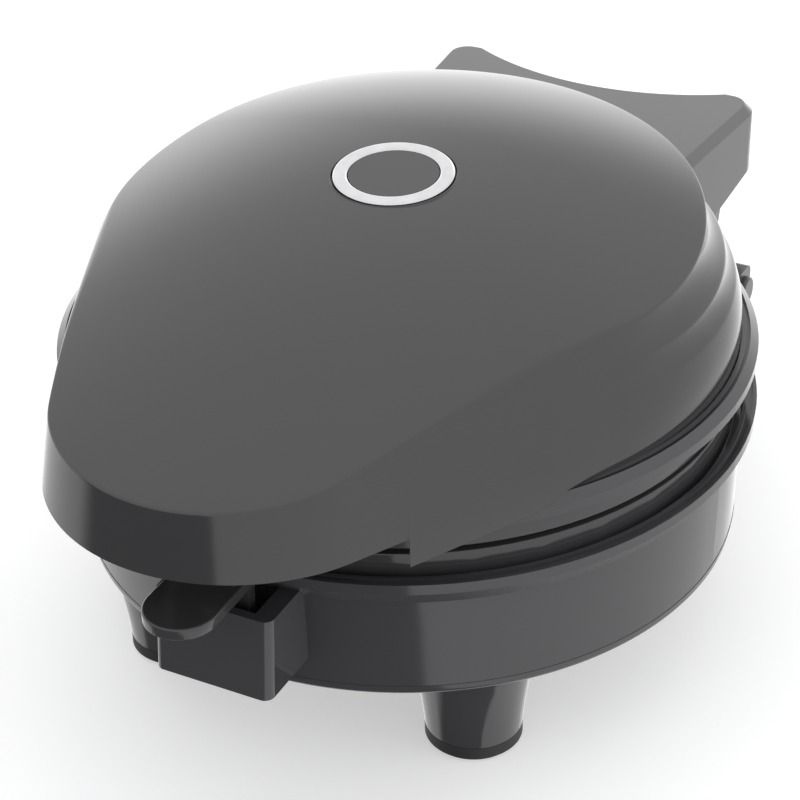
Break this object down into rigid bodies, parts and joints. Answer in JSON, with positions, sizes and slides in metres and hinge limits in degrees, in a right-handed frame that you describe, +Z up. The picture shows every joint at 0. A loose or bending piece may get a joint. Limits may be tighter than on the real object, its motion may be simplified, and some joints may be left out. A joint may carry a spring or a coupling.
{
  "type": "contact grill",
  "caption": "Compact round contact grill on legs, with a hinged teardrop lid, ribbed plates, a front latch and a rear hinge block.",
  "frame": {"origin": "on the surface it stands on, under the centre of the round plates and of the whole outline", "axes": "+Z up, -Y towards the handle and latch, +Y towards the hinge, +X to the right as seen from the front"},
  "size_m": [0.1448, 0.2066, 0.1023],
  "materials": {
    "grey_gloss_plastic": "smooth satin gloss",
    "dark_plastic": "fine matt",
    "rubber": "matt",
    "coated_plate": "dark non-stick coat",
    "shield_sheet": "pressed sheet",
    "heater_steel": "dull, heat darkened",
    "bright_trim": "bright satin",
    "lamp_glass": "clear",
    "ceramic": "glazed",
    "fastener_steel": "plated"
  },
  "bodies": {
    "base": {"base_shell": "grey_gloss_plastic", "lower_ring": "dark_plastic", "bottom_cover": "dark_plastic", "foot_pad_front_left": "rubber", "foot_pad_front_right": "rubber", "foot_pad_rear_left": "rubber", "foot_pad_rear_right": "rubber", "lower_plate": "coated_plate", "lower_element": "heater_steel", "lower_heat_shield": "shield_sheet", "lower_plate_screws": "fastener_steel", "thermostat": "ceramic", "thermal_fuse": "ceramic", "terminal_block": "ceramic", "cord_gland": "rubber", "base_screws": "fastener_steel", "hinge_pin_left": "fastener_steel", "hinge_pin_right": "fastener_steel"},
    "lid": {"lid_cover": "grey_gloss_plastic", "lid_housing": "grey_gloss_plastic", "hinge_block": "grey_gloss_plastic", "handle_base": "dark_plastic", "handle_screws": "fastener_steel", "latch_pin": "fastener_steel", "latch_spring": "fastener_steel", "indicator_ring": "bright_trim", "indicator_disc": "grey_gloss_plastic", "indicator_lamp": "lamp_glass", "upper_plate": "coated_plate", "upper_element": "heater_steel", "upper_heat_shield": "shield_sheet", "upper_plate_screws": "fastener_steel"},
    "latch": {"latch_lever": "dark_plastic"}
  },
  "joints": [
    {"name": "lid_hinge", "type": "hinge", "parent": "base", "child": "lid", "pos_m": [0, 0.076, 0.044], "axis": [-1, 0, 0], "range_deg": [0, 100]},
    {"name": "latch_pivot", "type": "hinge", "parent": "lid", "child": "latch", "pos_m": [0, -0.079, 0.063], "axis": [1, 0, 0], "range_deg": [0, 10], "stiffness_Nm_per_rad": 0.12, "springref_deg": -5.73}
  ]
}
